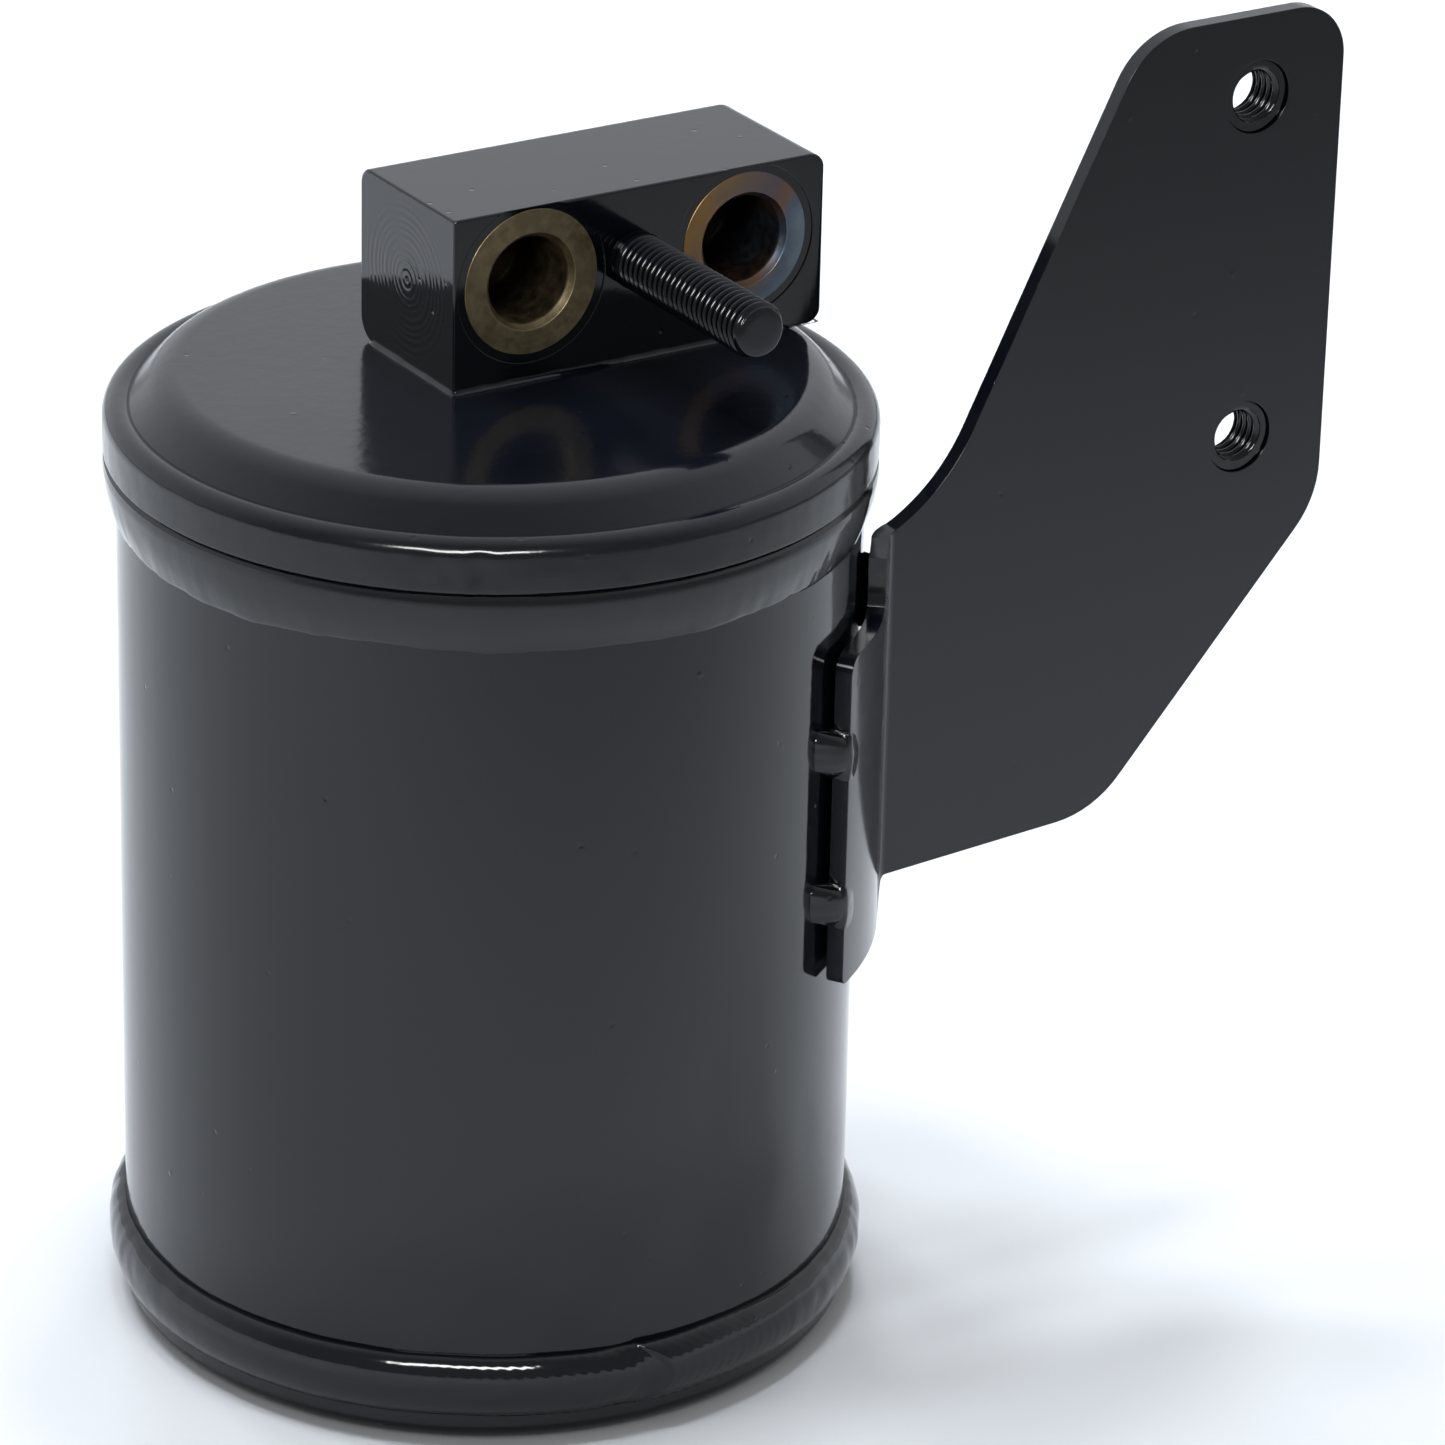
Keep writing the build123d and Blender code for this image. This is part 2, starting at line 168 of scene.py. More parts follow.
def finish_piece(name, mesh, material, replaced, sharp, weighted=False):
    """Makes a mesh a visible piece that rides on the one body and replaces a CAD node. Edges sharper
    than this many degrees are shaded as edges."""
    clean(mesh)
    mesh.shade_smooth()
    mesh.set_sharp_from_angle(angle=math.radians(sharp))
    mesh.materials.append(material)
    made = show(name, mesh)
    if weighted:
        modifier = made.modifiers.new("weighted", "WEIGHTED_NORMAL")
        modifier.keep_sharp = True
        modifier.weight = 100
    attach(made, "root")
    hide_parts(replaced)


def piece(name, verts, faces, material, replaced, sharp):
    """A finished piece from millimetre vertices."""
    finish_piece(name, mesh_in_mm(name, verts, faces), material, replaced, sharp)


def grid_faces(rows, columns, close_rows=False, close_columns=True):
    """Quads of a rows x columns grid whose rows (and columns) may close on themselves."""
    row_count = rows if close_rows else rows - 1
    column_count = columns if close_columns else columns - 1
    return [
        (
            i * columns + j,
            i * columns + (j + 1) % columns,
            ((i + 1) % rows) * columns + (j + 1) % columns,
            ((i + 1) % rows) * columns + j,
        )
        for i in range(row_count)
        for j in range(column_count)
    ]


def turn_profile(profile, segments, shift, place=None):
    """Vertices and faces of a closed (r, z) profile turned about Z. shift(r, z, angle) gives what a point
    moves within its half-plane, and place maps the result elsewhere."""
    verts = []
    for r, z in profile:
        for j in range(segments):
            angle = TURN * j / segments
            dr, dz = shift(r, z, angle) if r > 0.01 else (0.0, 0.0)
            point = Vector(((r + dr) * math.cos(angle), (r + dr) * math.sin(angle), z + dz))
            verts.append(place @ point if place else point)
    return verts, grid_faces(len(profile), segments, close_rows=True)


def no_shift(r, z, angle):
    return 0.0, 0.0


def ring_noise(angle, z, scale, seed, radius=51.0):
    """Smooth noise on a cylinder, about -1 to 1; scale is the size of its features in millimetres."""
    at = Vector((radius * math.cos(angle), radius * math.sin(angle), z)) / scale
    return noise.noise(at + Vector((seed, 2.7 * seed, -1.3 * seed)))


# -------- materials
def new_material(name):
    material = bpy.data.materials.new(name)
    material.use_nodes = True
    nodes = material.node_tree.nodes
    nodes.clear()
    output = nodes.new("ShaderNodeOutputMaterial")
    shader = nodes.new("ShaderNodeBsdfPrincipled")
    material.node_tree.links.new(shader.outputs["BSDF"], output.inputs["Surface"])
    return material, shader


class Nodes:
    """Short names for adding and joining shader nodes."""

    def __init__(self, owner, coordinate="Object"):
        self.tree = owner.node_tree
        self.position = self.add("ShaderNodeTexCoord").outputs[coordinate]

    def add(self, kind, **settings):
        node = self.tree.nodes.new(kind)
        for key, value in settings.items():
            setattr(node, key, value)
        return node

    def link(self, source, target):
        self.tree.links.new(source, target)

    def noise(self, scale, detail=2.0, roughness=0.5):
        """Noise with features about 1 / scale metres apart."""
        node = self.add("ShaderNodeTexNoise")
        node.inputs["Scale"].default_value = scale
        node.inputs["Detail"].default_value = detail
        node.inputs["Roughness"].default_value = roughness
        self.link(self.position, node.inputs["Vector"])
        return node.outputs["Fac"]

    def cells(self, scale):
        """Distance from the middle of cells about 1 / scale metres apart."""
        node = self.add("ShaderNodeTexVoronoi")
        node.inputs["Scale"].default_value = scale
        self.link(self.position, node.inputs["Vector"])
        return node.outputs["Distance"]

    def specks(self, scale, size):
        """1 at the middle of sparse dots and 0 elsewhere; size is a share of the cell."""
        return self.ramp(self.cells(scale), [(0.0, 1.0), (size, 0.0)])

    def dot(self, source, direction):
        node = self.add("ShaderNodeVectorMath", operation="DOT_PRODUCT")
        node.inputs[1].default_value = direction
        self.link(source, node.inputs[0])
        return node.outputs["Value"]

    def share(self, source, low, high):
        """0 to 1 as the source goes from low to high."""
        node = self.add("ShaderNodeMapRange")
        node.inputs["From Min"].default_value = low
        node.inputs["From Max"].default_value = high
        self.link(source, node.inputs["Value"])
        return node.outputs["Result"]

    def ramp(self, source, stops):
        """Maps a value through stops of (place, grey level or colour)."""
        node = self.add("ShaderNodeValToRGB")
        band = node.color_ramp
        while len(band.elements) < len(stops):
            band.elements.new(0.5)
        for element, (place, level) in zip(band.elements, stops):
            element.position = place
            colour = (level, level, level) if isinstance(level, float) else level
            element.color = (*colour, 1.0)
        self.link(source, node.inputs["Fac"])
        return node.outputs["Color"]

    def math(self, operation, first, second):
        node = self.add("ShaderNodeMath", operation=operation)
        for socket, value in zip(node.inputs, (first, second)):
            if isinstance(value, (int, float)):
                socket.default_value = value
            else:
                self.link(value, socket)
        return node.outputs["Value"]

    def bump(self, height, distance, normal=None):
        node = self.add("ShaderNodeBump")
        node.inputs["Distance"].default_value = distance
        node.inputs["Strength"].default_value = 1.0
        self.link(height, node.inputs["Height"])
        if normal is not None:
            self.link(normal, node.inputs["Normal"])
        return node.outputs["Normal"]


def enamel(name, base, roughness, orange_peel, pits):
    """Baked black enamel: orange peel, sparse pits and dust nibs, faint tone changes."""
    material, shader = new_material(name)
    n = Nodes(material)
    tone = n.ramp(n.noise(35.0, 3.0), [(0.3, tuple(0.8 * c for c in base)), (0.7, base)])
    n.link(tone, shader.inputs["Base Color"])
    rough = n.ramp(n.noise(90.0, 4.0, 0.6), [(0.35, roughness), (0.75, roughness * 1.6)])
    n.link(rough, shader.inputs["Roughness"])
    shader.inputs["IOR"].default_value = 1.46
    peel = n.bump(n.noise(420.0, 2.0, 0.55), orange_peel * MM)
    hole = n.math("MULTIPLY", n.specks(150.0, 0.07), -1.0)
    pitted = n.bump(hole, pits * MM, normal=peel)
    nibs = n.bump(n.specks(95.0, 0.05), pits * MM * 0.8, normal=pitted)
    n.link(nibs, shader.inputs["Normal"])
    return material


def share_across(n, center, direction, radius):
    """0 to 1 from one side of a round face to the other along a direction, with a wandering edge."""
    to_center = n.add("ShaderNodeVectorMath", operation="SUBTRACT")
    n.link(n.position, to_center.inputs[0])
    to_center.inputs[1].default_value = center
    share = n.share(n.dot(to_center.outputs["Vector"], direction), -radius, radius)
    wobble = n.math("MULTIPLY", n.math("SUBTRACT", n.noise(160.0, 3.0), 0.5), 0.45)
    return n.math("ADD", share, wobble)


def painted_bore_shade(n, colour, mouth_y):
    """The colour with painted shade, dimmed by depth into a bore that starts at mouth_y and runs along +Y.
    """
    dark_depth, raggedness = 11.0 * MM, 1.2 * MM
    axes = n.add("ShaderNodeSeparateXYZ")
    n.link(n.position, axes.inputs["Vector"])
    depth = n.math("SUBTRACT", axes.outputs["Y"], mouth_y)
    ragged = n.math("MULTIPLY", n.math("SUBTRACT", n.noise(500.0, 3.0), 0.5), raggedness)
    share = n.math("DIVIDE", n.math("ADD", depth, ragged), dark_depth)
    shade = n.ramp(share, [(0.0, 1.0), (0.45, 0.75), (0.8, 0.3), (1.0, 0.1)])
    darker = n.add("ShaderNodeMix", data_type="RGBA", blend_type="MULTIPLY")
    darker.inputs["Factor"].default_value = 1.0
    n.link(colour, darker.inputs[6])
    n.link(shade, darker.inputs[7])
    return darker.outputs[2]


def bare_metal(name, stops, roughness=0.32, across=None, bore_mouth=None):
    """Machined steel with a thin plated or heat-tinted film. The stops colour it by noise, or across a
    face given as (center, direction, radius). With bore_mouth, painted shade dims the colour deeper into a
    bore."""
    material, shader = new_material(name)
    n = Nodes(material)
    value = share_across(n, *across) if across else n.noise(160.0, 4.0, 0.6)
    colour = n.ramp(value, stops)
    # painted shade: the colour darkens with depth into the port's bore
    if bore_mouth is not None:
        colour = painted_bore_shade(n, colour, bore_mouth)
    n.link(colour, shader.inputs["Base Color"])
    shader.inputs["Metallic"].default_value = 1.0
    rough = n.ramp(n.noise(700.0, 3.0), [(0.3, roughness), (0.7, roughness * 1.35)])
    n.link(rough, shader.inputs["Roughness"])
    n.link(n.bump(n.noise(2600.0, 3.0, 0.6), 0.012 * MM), shader.inputs["Normal"])
    return material


def soft_material(name, colours, scale, height, cells=False):
    """Felt or packed beads: mottled, matt and bumpy."""
    material, shader = new_material(name)
    n = Nodes(material)
    pattern = n.cells(scale) if cells else n.noise(scale, 6.0, 0.7)
    n.link(n.ramp(pattern, [(0.25, colours[0]), (0.75, colours[1])]), shader.inputs["Base Color"])
    shader.inputs["Roughness"].default_value = 0.9
    n.link(n.bump(pattern, height * MM), shader.inputs["Normal"])
    return material


PAINT = (0.004, 0.005, 0.008)
paint = enamel("black_enamel", PAINT, 0.06, 0.012, 0.10)
cap_paint = enamel("black_enamel_cap", PAINT, 0.12, 0.03, 0.08)
block_paint = enamel("black_enamel_block", PAINT, 0.08, 0.010, 0.08)
bracket_paint = enamel("black_enamel_bracket", PAINT, 0.10, 0.008, 0.06)
weld_paint = enamel("black_enamel_weld", PAINT, 0.07, 0.03, 0.12)
steel = bare_metal("drawn_steel", [(0.3, (0.42, 0.41, 0.39)), (0.7, (0.56, 0.55, 0.52))])
felt = soft_material("filter_felt", ((0.62, 0.60, 0.54), (0.86, 0.84, 0.78)), 900.0, 0.3)
beads = soft_material("desiccant_beads", ((0.80, 0.72, 0.58), (0.42, 0.35, 0.26)), 480.0, 1.0, cells=True)


# -------- can, caps and girth welds
def add_lathe(name, profile, segments, material, replaced, sharp=35.0, shift=no_shift):
    verts, faces = turn_profile(profile, segments, shift)
    piece(name, verts, faces, material, replaced, sharp)


def make_shell():
    """Tube of the can, very slightly out of round."""
    heights = np.linspace(shell_low.z, shell_high.z, 62)
    profile = [(can_radius, z) for z in heights] + [(can_radius - can_wall, z) for z in heights[::-20]]

    def out_of_round(r, z, angle):
        broad = 0.035 * ring_noise(angle, z * 0.4, 38.0, 3.1)
        return broad + 0.006 * ring_noise(angle, z, 9.0, 5.7), 0.0

    add_lathe("can_wall", profile, 480, paint, "shell", shift=out_of_round)


def cap_profile():
    """Plateau, slope, round rim, and a skirt that ends in the weld; then back along the inside."""
    plateau_radius, plateau_round = 44.6, 5.6
    foot_radius, rim_round, rim_top_z = 49.0, 2.3, 133.0
    hem_round, hem_gap = 0.35, 0.35
    rim_center = (skirt_radius - rim_round, rim_top_z - rim_round)
    foot_start = 180 - math.degrees(math.acos((rim_center[0] - foot_radius) / rim_round))
    rim = arc_points(rim_center, rim_round, foot_start, -foot_start, 30)
    slope = rounded([(0.0, plateau_z, 0), (plateau_radius, plateau_z, plateau_round), (*rim[0], 0)], 3.0)
    flat = [(r, plateau_z) for r in np.linspace(0.0, slope[1][0], 26)[:-1]]
    foot = Vector(slope[-1])
    last = Vector(slope[-2])
    climb = [tuple(last.lerp(foot, share)) for share in (0.25, 0.5, 0.75, 0.93)]
    edge_z = upper_bead_high.z + hem_gap
    skirt = [(skirt_radius, z) for z in np.linspace(rim_center[1], edge_z + hem_round, 9)[1:]]
    hem = arc_points((skirt_radius - hem_round, edge_z + hem_round), hem_round, 0, -80, 5)[1:]
    inside = [
        (can_radius + 0.05, edge_z),
        (can_radius + 0.05, rim_center[1]),
        (48.2, rim_center[1]),
        (44.6, 134.3),
        (43.0, 135.0),
        (0.0, 135.0),
    ]
    return flat + slope[1:-1] + climb + rim + skirt + hem + inside


def make_top_cap():
    """The cap's skin, faintly pressed out of true, with a lumpy stretch of hem on the camera's side."""
    messy_side = -124.0

    def drawn(r, z, angle):
        pressed = 0.025 * ring_noise(angle, z, 24.0, 8.3, r) + 0.004 * ring_noise(angle, z, 5.0, 1.9, r)
        on_skirt = smoothstep(51.5, 52.4, r) * smoothstep(132.2, 130.6, z)
        messy = math.exp(-((turned_from(angle, messy_side) / 0.11) ** 2))
        hem_lumps = (0.035 + 0.11 * messy) * ring_noise(angle, z * 0.7, 2.4, 6.1, r)
        uneven = 0.35 + 0.65 * abs(ring_noise(angle, 0.0, 11.0, 4.9, r))
        sink = -0.10 * smoothstep(128.6, 126.0, z) * uneven
        return on_skirt * (hem_lumps + sink), pressed * smoothstep(52.0, 49.5, r)

    add_lathe("top_cap_skin", cap_profile(), 900, cap_paint, "top_cap", 50.0, drawn)


def off_front(angle):
    """0 on the camera's side, rising to 1 towards both flanks, where the welds are rougher."""
    return smoothstep(0.7, 1.2, abs(turned_from(angle, CAMERA_SIDE)))


def make_upper_weld():
    """Weld from under the skirt's hem down to the can: a groove, a shoulder, then a long toe."""
    hem_z, toe_z = upper_bead_high.z, upper_bead_low.z
    outer = [
        (can_radius + 0.4, hem_z + 0.3),
        (skirt_radius - 0.75, hem_z + 0.25),
        (skirt_radius - 0.42, hem_z - 0.08),
        (skirt_radius - 0.07, hem_z - 0.42),
        (skirt_radius, hem_z - 0.9),
        (skirt_radius + 0.05, hem_z - 1.42),
    ]
    last_r, last_z = outer[-1]
    steps = 14
    for i in range(1, steps + 1):
        share = i / steps
        bulge = 0.26 * math.sin(math.pi * share)
        r = last_r + (can_radius + 0.15 - last_r) * share + bulge
        outer.append((r, last_z + (toe_z + 0.25 - last_z) * share))
    buried = can_radius - 0.4
    outer += [(can_radius + 0.02, toe_z), (buried, toe_z + 0.1), (buried, hem_z)]

    def flowing(r, z, angle):
        down = smoothstep(hem_z, toe_z, z)
        wander = 0.9 * ring_noise(angle, 0.0, 26.0, 2.2) + 0.35 * ring_noise(angle, 0.0, 6.0, 4.4)
        wander += 0.12 * ring_noise(angle, 0.0, 1.8, 1.2)
        swell = 0.10 * ring_noise(angle, z, 14.0, 7.7) + 0.05 * ring_noise(angle, z * 0.5, 4.0, 9.1)
        ripple = 0.03 * ring_noise(angle, z * 0.35, 1.9, 3.3)
        rough = 0.10 * off_front(angle) * ring_noise(angle, z * 0.8, 2.6, 12.1)
        live = smoothstep(can_radius - 0.2, can_radius + 0.3, r)
        return live * ((swell + ripple) * (0.35 + 0.65 * down) + rough * down), wander * down

    add_lathe("upper_girth_bead", outer, 1080, weld_paint, "top_girth_weld", 28.0, flowing)


def make_bottom():
    """Drawn dish: a flat floor, a rounded corner, and a neck that reaches up inside the shell."""
    corner, wall = 3.0, 2.4
    neck = can_radius - can_wall - 0.05
    inner = can_radius - can_wall - 2.45
    seam_z = shell_low.z
    outside = [(0.0, 0.0, 0), (dish_high.x, 0.0, corner), (dish_high.x, seam_z, 0), (neck, seam_z, 0)]
    inside = [(neck, dish_high.z, 0), (inner, dish_high.z, 0), (inner, wall, wall), (0.0, wall, 0)]
    add_lathe("bottom_cap_skin", rounded(outside + inside, 6.0), 480, paint, "bottom_cap")


def make_lower_weld():
    """Round bead near the bottom, with the lap where the weld starts and stops."""
    low, high = lower_bead_low.z, lower_bead_high.z
    middle = (low + high) / 2
    half = (high - low) / 2
    proud = lower_bead_high.x - can_radius
    lap_side = -93.0
    profile = []
    steps = 30
    for i in range(steps + 1):
        t = math.pi * i / steps
        r = can_radius - 0.12 + proud * 0.985 * math.sin(t) ** 0.86
        profile.append((r, middle + half * math.cos(t)))
    profile += [(can_radius - 0.5, low + 0.4), (can_radius - 0.5, high - 0.4)]

    def laid(r, z, angle):
        live = smoothstep(can_radius - 0.3, can_radius + 0.5, r)
        along = turned_from(angle, lap_side) * can_radius
        side = (z - middle) / half
        wander = 0.28 * ring_noise(angle, 0.0, 22.0, 5.5) + 0.10 * ring_noise(angle, 0.0, 6.0, 1.1)
        swell = 0.10 * ring_noise(angle, z * 0.3, 16.0, 6.6) + 0.035 * ring_noise(angle, z * 0.4, 3.0, 2.9)
        front = along + 4.5 * side * side - 1.0
        lap = 0.42 * math.exp(-max(0.0, front) / 9.0) * smoothstep(-0.35, 0.35, front)
        sunk = -0.25 * math.exp(-(((front + 3.2) / 2.6) ** 2))
        ripple = 0.022 * math.sin(front * TURN / 1.7) * smoothstep(40.0, 4.0, abs(along))
        rough = 0.13 * off_front(angle) * ring_noise(angle, z * 0.8, 2.8, 13.7)
        return live * (swell + lap + sunk + ripple + rough), wander * (0.4 + 0.6 * abs(side))

    add_lathe("lower_girth_bead", profile, 1080, weld_paint, "bottom_girth_weld", 70.0, laid)


make_shell()
make_top_cap()
make_upper_weld()
make_bottom()
make_lower_weld()


# -------- manifold block with its ports
OUT_OF_BLOCK = Matrix.Rotation(math.radians(90), 4, "X")
block_middle_y = (block_low.y + block_high.y) / 2
block_middle_z = (block_low.z + block_high.z) / 2
seat_radii = (10.2, 9.7)
seat_depth = 0.12
bore_radius, mouth_radius, bore_depth = 6.1, 6.9, 14.0


def port_place(x):
    """Puts a lathe's +Z along -Y, out of the block's front face, at this x."""
    return Matrix.Translation((x, block_low.y, port_z)) @ OUT_OF_BLOCK


def cutter(name, profile, x):
    """Closed turned solid to cut into the block's front face with."""
    verts, faces = turn_profile(profile, 128, no_shift, port_place(x))
    mesh = bpy.data.meshes.new(name)
    mesh.from_pydata([v * MM for v in verts], [], faces)
    clean(mesh)
    return show(name, mesh)


def cut(mesh, tools):
    """The mesh with the tools taken away, worked out once; the tools are removed."""
    body = show("cutting", mesh)
    for tool in tools:
        modifier = body.modifiers.new("cut", "BOOLEAN")
        modifier.operation = "DIFFERENCE"
        modifier.solver = "EXACT"
        modifier.object = tool
    depsgraph = bpy.context.evaluated_depsgraph_get()
    result = bpy.data.meshes.new_from_object(body.evaluated_get(depsgraph))
    for thing in [body, *tools]:
        bpy.data.objects.remove(thing)
    return result


def block_stations():
    """(x, inset_y, inset_z) along the bar: a crisp left end, and a right end rounded at top and bottom."""
    end_round, side_round = 2.2, 0.3
    steps = 12
    stations = [(block_low.x, 0.3, 0.3), (block_low.x + 0.1, 0.1, 0.1), (block_low.x + 0.3, 0.0, 0.0)]
    for i in range(steps + 1):
        t = math.pi / 2 * i / steps
        sink = 1 - math.cos(t)
        x = block_high.x - end_round * (1 - math.sin(t))
        stations.append((x, side_round * sink**4, end_round * sink))
    return stations


def block_solid():
    """Bar stock with crisp front edges and rounded back edges."""
    crisp, back_low, back_high = 0.35, 3.4, 2.4
    bottom = [(block_low.y, block_low.z, crisp), (block_high.y, block_low.z, back_low)]
    top = [(block_high.y, block_high.z, back_high), (block_low.y, block_high.z, crisp)]
    section = rounded(bottom + top, 9.0)
    middle = Vector((block_middle_y, block_middle_z))
    stations = block_stations()
    verts = []
    for x, inset_y, inset_z in stations:
        for y, z in section:
            toward = Vector((y, z)) - middle
            shrink_y = 1 - inset_y / ((block_high.y - block_low.y) / 2)
            shrink_z = 1 - inset_z / ((block_high.z - block_low.z) / 2)
            verts.append((x, middle.x + toward.x * shrink_y, middle.y + toward.y * shrink_z))
    count = len(section)
    faces = grid_faces(len(stations), count)
    faces.append(tuple(range(count)))
    faces.append(tuple((len(stations) - 1) * count + j for j in range(count)))
    mesh = mesh_in_mm("block", verts, faces)
    clean(mesh)
    return mesh


def left_end(work):
    """The largest face on the block's left end."""
    end_x = block_low.x * MM
    return min(work.faces, key=lambda f: (abs(f.calc_center_median().x - end_x) > 1e-5, -f.calc_area()))


def ring_depth(r):
    """Ripple of a faced bar at this distance from the centre, with one deeper tool mark."""
    pitch = 1.0
    ripple = 0.012 * math.sin(TURN * r / pitch + 0.8 * math.sin(r * 1.7))
    return ripple + 0.016 * math.exp(-(((r - 4.6) / 0.25) ** 2))


def face_left_end(mesh):
    """Gives the block's left end the fine rings of a faced bar: a radial grid with real ripples."""
    rings = 130
    edge_step = 0.9 * MM
    work = bmesh.new()
    work.from_mesh(mesh)
    long_edges = [e for e in left_end(work).edges if e.calc_length() > edge_step]
    for edge in long_edges:
        cuts = math.ceil(edge.calc_length() / edge_step) - 1
        bmesh.ops.subdivide_edges(work, edges=[edge], cuts=cuts)
    end = left_end(work)
    rim = [loop.vert for loop in end.loops]
    bmesh.ops.delete(work, geom=[end], context="FACES_ONLY")
    center = Vector((block_low.x * MM, block_middle_y * MM, block_middle_z * MM))
    previous = rim
    for k in range(1, rings + 1):
        share = 1 - k / rings
        ring = []
        for vert in rim:
            at = center + (vert.co - center) * share
            r = (at - center).length / MM
            fade = smoothstep(12.0, 9.5, r) * smoothstep(0.0, 0.12, 1 - share)
            ring.append(work.verts.new((at.x + ring_depth(r) * fade * MM, at.y, at.z)))
        for j in range(len(rim)):
            nxt = (j + 1) % len(rim)
            work.faces.new((previous[j], previous[nxt], ring[nxt], ring[j]))
        previous = ring
    bmesh.ops.remove_doubles(work, verts=previous, dist=1e-7)
    work.to_mesh(mesh)
    work.free()


def make_block():
    """The bar with two spot-faced ports and the stud's hole cut in its front, and its left end faced."""
    proud = 0.5
    floor_z = -bore_depth - 0.4
    sleeve_radius = bore_radius + 1.6
    tools = []
    for x, seat_radius in zip(port_xs, seat_radii):
        spot = seat_radius + 1.15
        flare = [(0.0, proud), (spot + 0.30, proud), (spot + 0.16, 0.0), (spot + 0.04, -0.05)]
        wall = [(spot, -0.2), (sleeve_radius, -0.2), (sleeve_radius, floor_z), (0.0, floor_z)]
        tools.append(cutter("port_tool", flare + wall, x))
    hole_radius, hole_depth = stud_radius + 0.05, 6.0
    hole = [(0.0, proud), (hole_radius, proud), (hole_radius, -hole_depth), (0.0, -hole_depth)]
    tools.append(cutter("stud_tool", hole, stud_x))
    mesh = cut(block_solid(), tools)
    face_left_end(mesh)
    mesh.materials.clear()
    finish_piece("port_block", mesh, block_paint, "manifold_block", 32.0, weighted=True)


def seat_metals():
    """The left port's even olive film, and the right port's heat-tint colours."""
    olive = [
        (0.32, (0.13, 0.10, 0.06)),
        (0.45, (0.21, 0.17, 0.10)),
        (0.58, (0.15, 0.12, 0.07)),
        (0.72, (0.24, 0.20, 0.12)),
    ]
    tint = [
        (0.08, (0.20, 0.12, 0.05)),
        (0.30, (0.15, 0.11, 0.08)),
        (0.52, (0.11, 0.09, 0.10)),
        (0.68, (0.16, 0.10, 0.07)),
        (0.80, (0.10, 0.13, 0.17)),
        (0.95, (0.16, 0.20, 0.23)),
    ]
    mouth = block_low.y * MM
    right_face = ((port_xs[1] * MM, 0.0, port_z * MM), (0.93, 0.0, -0.37), seat_radii[1] * MM)
    return [
        # both seats carry painted shade that darkens their bores with depth
        bare_metal("olive_seat", olive, 0.40, bore_mouth=mouth),
        bare_metal("tinted_seat", tint, 0.36, right_face, mouth),
    ]


def seat_profile(seat_radius):
    """Face, rounded mouth and bore of one port, then back along the outside."""
    face_z = 0.03 - seat_depth
    bore_end = -bore_depth
    profile = [(seat_radius, -seat_depth - 0.03), (seat_radius - 0.06, face_z)]
    profile += [(r, face_z) for r in np.linspace(seat_radius - 0.4, mouth_radius + 0.12, 12)]
    profile += arc_points((mouth_radius, -seat_depth - 0.12), 0.15, 90, 80, 4)
    profile += [(bore_radius + 0.12, -seat_depth - 0.75), (bore_radius, -seat_depth - 0.95)]
    profile += [(bore_radius, z) for z in np.linspace(-1.4, bore_end + 0.6, 14)]
    profile += [(bore_radius - 0.5, bore_end), (0.0, bore_end - 0.3)]
    profile += [(0.0, bore_end - 0.35), (bore_radius + 1.5, bore_end - 0.35)]
    return profile + [(bore_radius + 1.5, -seat_depth - 0.2), (seat_radius, -seat_depth - 0.2)]


def make_seats():
    """Bare rings round the ports, with the bores behind them."""
    tool_pitch = 0.33

    def tool_marks(r, z, angle):
        return 0.0, 0.004 * math.sin(r * TURN / tool_pitch) * (1.0 if z > -0.5 else 0.0)

    for name, x, radius, metal in zip(("outlet_seat", "inlet_seat"), port_xs, seat_radii, seat_metals()):
        verts, faces = turn_profile(seat_profile(radius), 192, tool_marks, port_place(x))
        piece(name, verts, faces, metal, "manifold_block", 40.0)


def braze_path(back_y):
    """Points about 0.5 mm apart round the foot of the block."""
    corner = 0.6
    front = [(block_low.x, block_low.y, corner), (block_high.x, block_low.y, corner)]
    back = [(block_high.x, back_y, corner), (block_low.x, back_y, corner)]
    section = rounded(front + back, 15.0)
    path = []
    for i, (x, y) in enumerate(section):
        nx, ny = section[(i + 1) % len(section)]
        steps = max(1, round(math.hypot(nx - x, ny - y) / 0.5))
        path += [(x + (nx - x) * k / steps, y + (ny - y) * k / steps) for k in range(steps)]
    return path


def outward(value, low, high):
    """1 beside the high side, -1 beside the low side, 0 between."""
    margin = 0.7
    return float(value > high - margin) - float(value < low + margin)


def make_braze():
    """Thin uneven fillet round the foot of the block, where the plateau carries it."""
    back_y = block_high.y - 3.0
    path = braze_path(back_y)
    middle = ((block_low.x + block_high.x) / 2, (block_low.y + back_y) / 2)
    verts = []
    rows = 8
    for x, y in path:
        leg = 0.75 + 0.2 * noise.noise(Vector((x, y, 0.0)) / 3.0)
        leg *= smoothstep(42.8, 41.8, math.hypot(x, y))
        out_x = outward(x, block_low.x, block_high.x)
        out_y = outward(y, block_low.y, back_y)
        size = math.hypot(out_x, out_y) or 1.0
        for k in range(rows + 1):
            t = math.pi / 2 * k / rows
            along = leg * (1 - math.sin(t))
            up = leg * (1 - math.cos(t))
            verts.append((x + out_x / size * along, y + out_y / size * along, plateau_z - 0.03 + up))
        inward = Vector((middle[0] - x, middle[1] - y)).normalized() * 0.5
        verts.append((x + inward.x, y + inward.y, plateau_z + leg * 0.9))
        verts.append((x + inward.x, y + inward.y, plateau_z - 0.05))
    faces = grid_faces(len(path), rows + 3, close_rows=True)
    piece("block_fillet", verts, faces, weld_paint, "block_braze", 60.0)


make_block()
make_seats()
make_braze()


# -------- threads
PITCH = 1.25


def thread_depth(phase, depth):
    """How far below the crest an ISO thread is at this phase of its pitch."""
    t = abs((phase % 1.0) - 0.5) * 2
    if t < 0.16:
        return 0.0
    return depth * smoothstep(0.10, 0.86, t)


